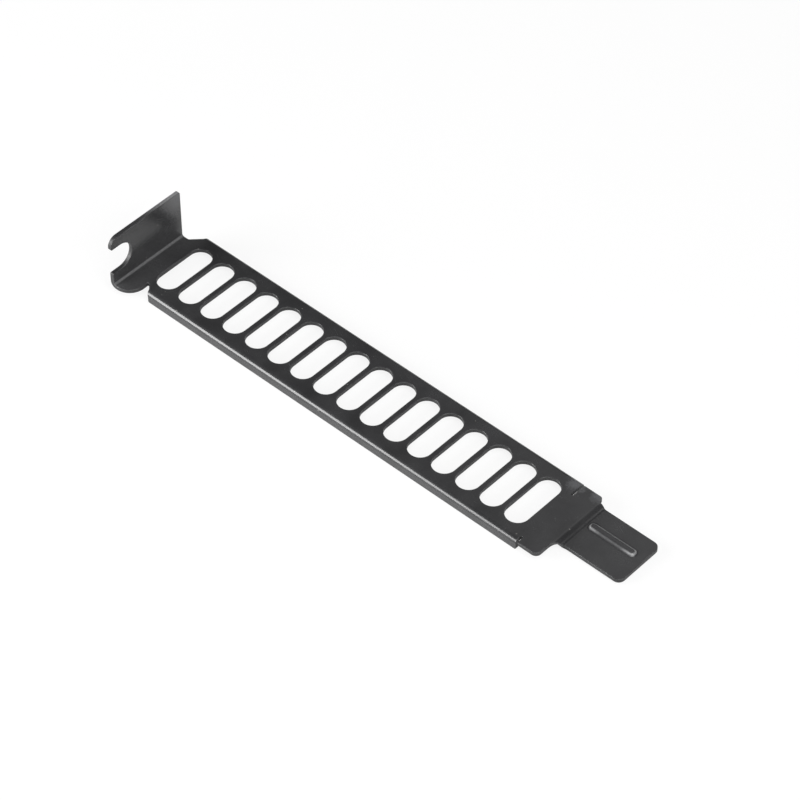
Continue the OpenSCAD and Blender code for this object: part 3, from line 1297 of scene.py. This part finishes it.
@dataclass(frozen=True)
class SatinBlackCoat(SheetCoat):
    """The satin black coat on the sheet's faces and bends."""

    name: str = "satin_black_coat"
    deep: Colour = (0.023, 0.023, 0.024, 1.0)
    pale: Colour = (0.035, 0.035, 0.0365, 1.0)
    # Paler tone of edge rub marks, scratches and patches, and of the painted reflection at the tab's corner.
    rubbed_and_highlight: Colour = (0.085, 0.086, 0.09, 1.0)
    # Pale tone of the painted highlights round the rib's crest and along the tab's bend.
    painted_light: Colour = (0.27, 0.27, 0.275, 1.0)
    dust: Colour = (0.22, 0.215, 0.2, 1.0)
    roughness: float = 0.25
    drift: float = 0.1
    ior: float = 1.58
    relief: float = 0.22
    relief_depth: float = 0.02 * MM
    rub_reach: float = 0.3
    rub_amount: float = 0.5
    rub_dulling: float = 0.12
    scratch_amount: float = 0.35
    scratch_depth: float = 0.5
    speck_density: float = 0.8
    speck_amount: float = 0.5
    # Breaks in the painted highlights.
    highlight_breaks: Mottle = Mottle(Noise(2.4, 3.0, 0.6), (0.3, 0.6), (0.6, 1.0))

    def wear_and_painted_light(
        self, bench: NodeBench, place: NodeSocket, skin: dict[str, NodeSocket]
    ) -> tuple[NodeSocket, NodeSocket, NodeSocket]:
        """Rubs the edges and corners, pales patches by the shoulder, paints a reflection at the tab's corner
        and highlights round the rib's crest and along the tab's bend, with faint painted light beside the
        bend, and adds dust.

        Args:
            bench: The material's bench.
            place: Each point's place in the blank.
            skin: The fresh coat.

        Returns:
            The finished coat's colour, roughness and height.
        """
        effects, gap = self.effects, bench.mark(Mark.EDGE_GAP, "Fac")
        rub = effects.rub.mask(bench, Place=place, Edge_Gap=gap, Reach=self.rub_reach, Amount=self.rub_amount)
        scratch = effects.scratches.mask(bench, Place=place, Amount=self.scratch_amount)
        speck = effects.specks.mask(bench, Place=place, Density=self.speck_density, Amount=self.speck_amount)
        # Edge rub, scratches, paler patches, and the painted reflection at the tab's corner.
        dulled_and_highlight = bench.most(rub, *self.pale_patch_masks(bench, place), scratch)
        # Painted highlights round the rib's crest and along the tab's bend, broken up.
        painted_light = bench.math("MULTIPLY", bench.mark(Mark.PAINTED_LIGHT, "Fac"), bench.mottle(place, self.highlight_breaks))
        colour = bench.blend(painted_light, bench.blend(dulled_and_highlight, skin["Color"], self.rubbed_and_highlight), self.painted_light)
        rougher = bench.math("MULTIPLY", dulled_and_highlight, self.rub_dulling)
        return (
            bench.blend(speck, colour, self.dust),
            bench.math("ADD", skin["Roughness"], rougher, clamp=True),
            bench.math("SUBTRACT", skin["Height"], bench.math("MULTIPLY", scratch, self.scratch_depth)),
        )


@dataclass(frozen=True)
class CutEdgeCoat(SheetCoat):
    """The thinner, rougher coat on the punched walls of the sheet."""

    name: str = "cut_edge_coat"
    deep: Colour = (0.013, 0.013, 0.0135, 1.0)
    pale: Colour = (0.028, 0.028, 0.029, 1.0)
    # Pale tone of the painted highlight along the tab's top rim.
    rubbed_and_highlight: Colour = (0.2, 0.2, 0.204, 1.0)
    torn: Colour = (0.05, 0.05, 0.052, 1.0)
    roughness: float = 0.5
    drift: float = 0.2
    ior: float = 1.5
    relief: float = 0.45
    relief_depth: float = 0.03 * MM
    torn_amount: float = 0.5

    def wear_and_painted_light(
        self, bench: NodeBench, place: NodeSocket, skin: dict[str, NodeSocket]
    ) -> tuple[NodeSocket, NodeSocket, NodeSocket]:
        """Marks the wall where the punch tore it, and paints a highlight along the tab's top rim.

        Args:
            bench: The material's bench.
            place: Each point's place in the blank.
            skin: The fresh coat.

        Returns:
            The finished coat's colour, roughness and height.
        """
        marks = self.effects.shear.place(bench, Place=place)
        torn = bench.math("MULTIPLY", marks["Mask"], self.torn_amount, clamp=True)
        colour = bench.blend(torn, skin["Color"], self.torn)
        # Painted highlight along the tab's top rim.
        colour = bench.blend(bench.most(*self.pale_patch_masks(bench, place)), colour, self.rubbed_and_highlight)
        return colour, skin["Roughness"], marks["Height"]


@dataclass(frozen=True)
class PaleFloor:
    """A white floor that shows plain white, and still takes the cover's shadow.

    The coat mirrors it with more of its shadow than is seen directly, so that the floor
    close under the sheet is mirrored darker than the open floor.
    """

    name: str = "pale_floor"
    colour: Colour = (0.9, 0.9, 0.9, 1.0)
    own_light: float = 0.85
    own_light_mirrored: float = 0.4
    cloud: Mottle = Mottle(Noise(40.0, 3.0), (0.3, 0.7))
    cloud_tone: float = 0.985

    def make(self) -> Material:
        """Makes the material.

        Returns:
            The new material.
        """
        material = bpy.data.materials.new(self.name)
        material.use_nodes = True
        material.node_tree.nodes.clear()
        bench = NodeBench(material.node_tree)
        path = bench.add("LightPath").outputs
        seen = bench.math("MULTIPLY", path["Is Camera Ray"], self.own_light)
        bent = bench.math("ADD", path["Is Glossy Ray"], path["Is Transmission Ray"], clamp=True)
        mirrored = bench.math("MULTIPLY", bent, self.own_light_mirrored)
        cloud = bench.mottle(bench.add("TexCoord").outputs["Object"], self.cloud)
        darker = tuple(part * self.cloud_tone for part in self.colour[:3]) + (1.0,)
        tone = bench.blend(cloud, darker, self.colour)
        plain = bench.feed(bench.add("BsdfDiffuse"), Color=tone)
        bench.end_with("OutputMaterial", bench.most(seen, mirrored), plain, bench.add("Emission"))
        return material


# --- The cover and its studio ---


@dataclass(frozen=True)
class SlotCover:
    """The whole cover: tab, vented face with flanges, shoulder and tongue, in one sheet."""

    sheet: SteelSheet
    tab: ScrewTab
    face: VentedFace
    tongue: Tongue
    face_z: float
    name: str = "folded_cover"
    # Paler, duller patches by the far relief cut and at the shoulder's far corner.
    relief_pale_patch: PalePatch = PalePatch(-0.6, -0.9, 3.0, 1.35)
    shoulder_pale_patch: PalePatch = PalePatch(-0.8, -0.3, 2.2, 1.2)
    # A painted reflection on the tab's face by its top corner.
    tab_painted_reflection: PalePatch = PalePatch(0.0, 0.0, 6.2, 1.3)
    # A painted highlight along the tab's top rim.
    tab_rim_painted_highlight: PalePatch = PalePatch(0.0, 0.0, 12.0, 1.2)

    @classmethod
    def from_box(cls, low: Vector, high: Vector) -> "SlotCover":
        """Takes the cover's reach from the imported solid.

        Args:
            low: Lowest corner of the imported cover, in metres.
            high: Its highest corner.

        Returns:
            The cover, in millimetres.
        """
        low, high = low / MM, high / MM
        face = VentedFace(half_width=high.y)
        face_z = low.z + face.flange_h
        return cls(
            sheet=SteelSheet(thickness=-low.x),
            tab=ScrewTab(height=high.z - face_z, reach=-low.y),
            face=face,
            tongue=Tongue(end=high.x),
            face_z=face_z,
        )

    @property
    def fold(self) -> Fold:
        """Works out how this cover's blank is folded.

        Returns:
            The fold.
        """
        face = self.face
        shoulder_start = face.flange_end + face.relief_w
        return Fold(
            sheet=self.sheet,
            face_z=self.face_z,
            half_width=face.half_width,
            shoulder_end=shoulder_start + self.tongue.shoulder_l,
            set_back=self.tongue.set_back,
            near_zone=self.tab.ear_l + self.tab.ear_relief_w / 2,
            far_zone=face.slant_lead,
            zone_end=face.flange_end + face.relief_w / 2,
        )

    def _blank(self) -> list[Corner]:
        """Lays out the edge of the blank.

        Returns:
            Its corners, with the metal on the left.
        """
        fold, face, tab = self.fold, self.face, self.tab
        bend_v, leg_v = fold.flange_bend_v, fold.flange_leg_v
        rim_v = leg_v + face.flange_h - self.sheet.flange_bend_r - self.sheet.thickness
        slant_start = tab.ear_l + tab.ear_relief_w
        near_bend = slant_start + bend_v - tab.ear_relief_y
        far_bend = face.slant_lead + bend_v - tab.short_reach
        lean = fold.flange_middle_r
        r, rim_r = face.relief_r, face.flange_corner_r
        near_neck = face.half_width - face.near_relief_depth
        far_neck = face.half_width - face.far_relief_depth
        end, past_cut = face.flange_end, face.flange_end + face.relief_w
        return [
            *tab.corners(fold),
            Corner(slant_start, -tab.ear_relief_y, tab.ear_relief_r),
            Corner(near_bend, -bend_v, face.slant_r),
            Corner(near_bend + lean, -leg_v, rim_r),
            Corner(near_bend + lean, -rim_v, rim_r),
            Corner(end, -rim_v, rim_r),
            Corner(end, -near_neck, r),
            Corner(past_cut, -near_neck, r),
            *self.tongue.corners(face, fold),
            Corner(past_cut, far_neck, r),
            Corner(end, far_neck, r),
            Corner(end, rim_v, rim_r),
            Corner(far_bend + lean, rim_v, rim_r),
            Corner(far_bend + lean, leg_v, rim_r),
            Corner(far_bend, bend_v, face.slant_r),
            Corner(face.slant_lead, tab.short_reach, tab.neck_r),
            Corner(fold.tab_u(tab.height), tab.short_reach, tab.short_corner_r),
        ]

    def build(self) -> Object:
        """Builds the folded sheet as one piece.

        Returns:
            The new object.
        """
        fold = self.fold
        maker = OutlineMaker(fold_rows=fold.rows(), fold_columns=fold.columns())
        outlines = [maker.make(corners) for corners in (self._blank(), *self.face.slots())]
        return SheetMesh(outlines, EdgeProfile(self.sheet), fold, self.tongue).build(self.name)

    def dress(self, piece: Object, effects: SharedEffects) -> None:
        """Gives the piece its two coats, and puts it in the CAD solid's place.

        Args:
            piece: The folded sheet.
            effects: The effects that its coats are made of.
        """
        face, tongue = self.face, self.tongue
        tab_corner = (self.fold.tab_u(self.tab.height), self.tab.short_reach)
        pale_patches = (
            self.relief_pale_patch.beside(face.flange_end, face.half_width),
            self.shoulder_pale_patch.beside(self.fold.shoulder_end, tongue.shoulder_y + tongue.shoulder_w / 2),
            # The painted reflection at the tab's corner.
            self.tab_painted_reflection.beside(*tab_corner),
        )
        piece.data.materials.append(SatinBlackCoat(effects, pale_patches).make())
        # The cut walls get the painted highlight along the tab's top rim.
        piece.data.materials.append(CutEdgeCoat(effects, (self.tab_rim_painted_highlight.beside(*tab_corner),)).make())
        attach(piece, "root")
        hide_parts(CAD_NODE)


@dataclass(frozen=True)
class Softbox:
    """A square lamp that looks at the cover from one side."""

    name: str
    azimuth: float
    elevation: float
    distance: float
    size: float
    power: float

    def build(self, aim: Vector) -> Object:
        """Builds the lamp.

        Args:
            aim: The point that it lights, in metres.

        Returns:
            The new object.
        """
        lamp = bpy.data.lights.new(self.name, "AREA")
        lamp.shape = "SQUARE"
        lamp.size = self.size
        lamp.energy = self.power
        back = towards(self.azimuth, self.elevation)
        found = put_in_scene(self.name, lamp, aim + back * self.distance)
        found.rotation_mode = "QUATERNION"
        found.rotation_quaternion = (-back).to_track_quat("-Z", "Y")
        found.visible_camera = False
        return found


@dataclass(frozen=True)
class Studio:
    """A pale floor, a plain surround, four softboxes and the camera."""

    middle: Vector
    floor_z: float
    floor_half: float = 1.5
    ambient: float = 0.22
    overhead: float = 0.05
    horizon_band: tuple[float, float] = (0.04, 0.22)
    lens: float = 151.1
    sensor: float = 36.0
    azimuth: float = 42.81
    elevation: float = 46.34
    roll: float = -0.29
    distance: float = 622.5 * MM
    look_right: float = 0.2706
    look_up: float = 0.0208
    near_share: float = 0.01
    softboxes: tuple[Softbox, ...] = (
        Softbox("key_softbox", -40.0, 18.0, 0.66, 0.42, 6.2),
        Softbox("side_softbox", 84.0, 30.0, 0.6, 0.4, 1.4),
        Softbox("high_softbox", 60.0, 60.0, 0.6, 0.4, 1.9),
        Softbox("back_softbox", 196.0, 53.0, 0.66, 0.28, 0.16),
    )

    def floor(self) -> Object:
        """Builds the floor below the cover.

        Returns:
            The new object.
        """
        half = self.floor_half
        mesh = bpy.data.meshes.new("floor")
        corners = [(-half, -half, 0), (half, -half, 0), (half, half, 0), (-half, half, 0)]
        mesh.from_pydata(corners, [], [(0, 1, 2, 3)])
        mesh.materials.append(PaleFloor().make())
        found = put_in_scene("floor", mesh, Vector((self.middle.x, self.middle.y, self.floor_z)))
        return found

    def surround(self) -> None:
        """Makes the world: white where it is seen, and a plain soft light elsewhere."""
        world = bpy.data.worlds.new("surround")
        world.use_nodes = True
        bpy.context.scene.world = world
        world.node_tree.nodes.clear()
        bench = NodeBench(world.node_tree)
        path = bench.add("LightPath").outputs
        seen = bench.math("ADD", path["Is Camera Ray"], path["Is Glossy Ray"])
        seen = bench.math("ADD", seen, path["Is Transmission Ray"], clamp=True)
        direction = bench.feed(bench.add("SeparateXYZ"), bench.add("TexCoord").outputs["Generated"])
        dim = bench.span(direction.outputs["Z"], self.horizon_band, (1.0, self.overhead))
        strength = bench.most(path["Is Camera Ray"], dim)
        light = bench.feed(bench.add("Background"), Color=WHITE, Strength=self.ambient)
        shown = bench.feed(bench.add("Background"), Color=WHITE, Strength=strength)
        bench.end_with("OutputWorld", seen, light, shown)

    def camera(self) -> Object:
        """Sets the camera up above the tongue's end of the cover, on the notch's side.

        Returns:
            The new object.
        """
        data = bpy.data.cameras.new("camera")
        data.lens = self.lens
        data.sensor_width = self.sensor
        data.clip_start = self.distance * self.near_share
        back = towards(self.azimuth, self.elevation)
        rotation = (-back).to_track_quat("-Z", "Y")
        turns = {"Z": self.roll, "Y": -self.look_right, "X": self.look_up}
        for axis, angle in turns.items():
            rotation @= Quaternion(AXES[axis], math.radians(angle))
        found = put_in_scene("camera", data, self.middle + back * self.distance)
        found.rotation_mode = "QUATERNION"
        found.rotation_quaternion = rotation
        bpy.context.scene.camera = found
        return found

    def build(self) -> None:
        """Builds the floor, the surround, the lamps and the camera."""
        self.floor()
        self.surround()
        for softbox in self.softboxes:
            softbox.build(self.middle)
        self.camera()
        bpy.context.scene.view_settings.view_transform = "Standard"


def main() -> None:
    """Builds and dresses the cover, and sets up the studio around it."""
    logging.basicConfig(level=logging.INFO, format="%(name)s: %(message)s")
    cover = SlotCover.from_box(*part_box(CAD_NODE))
    piece = cover.build()
    cover.dress(piece, SharedEffects.built())
    LOG.info("%s: %d points, %d faces", piece.name, len(piece.data.vertices), len(piece.data.polygons))
    low, high = CAD_LOW, CAD_HIGH
    middle = Vector(((low.x + high.x) / 2, 0, cover.face_z * MM))
    Studio(middle=middle, floor_z=low.z).build()


if __name__ == "__main__":
    main()
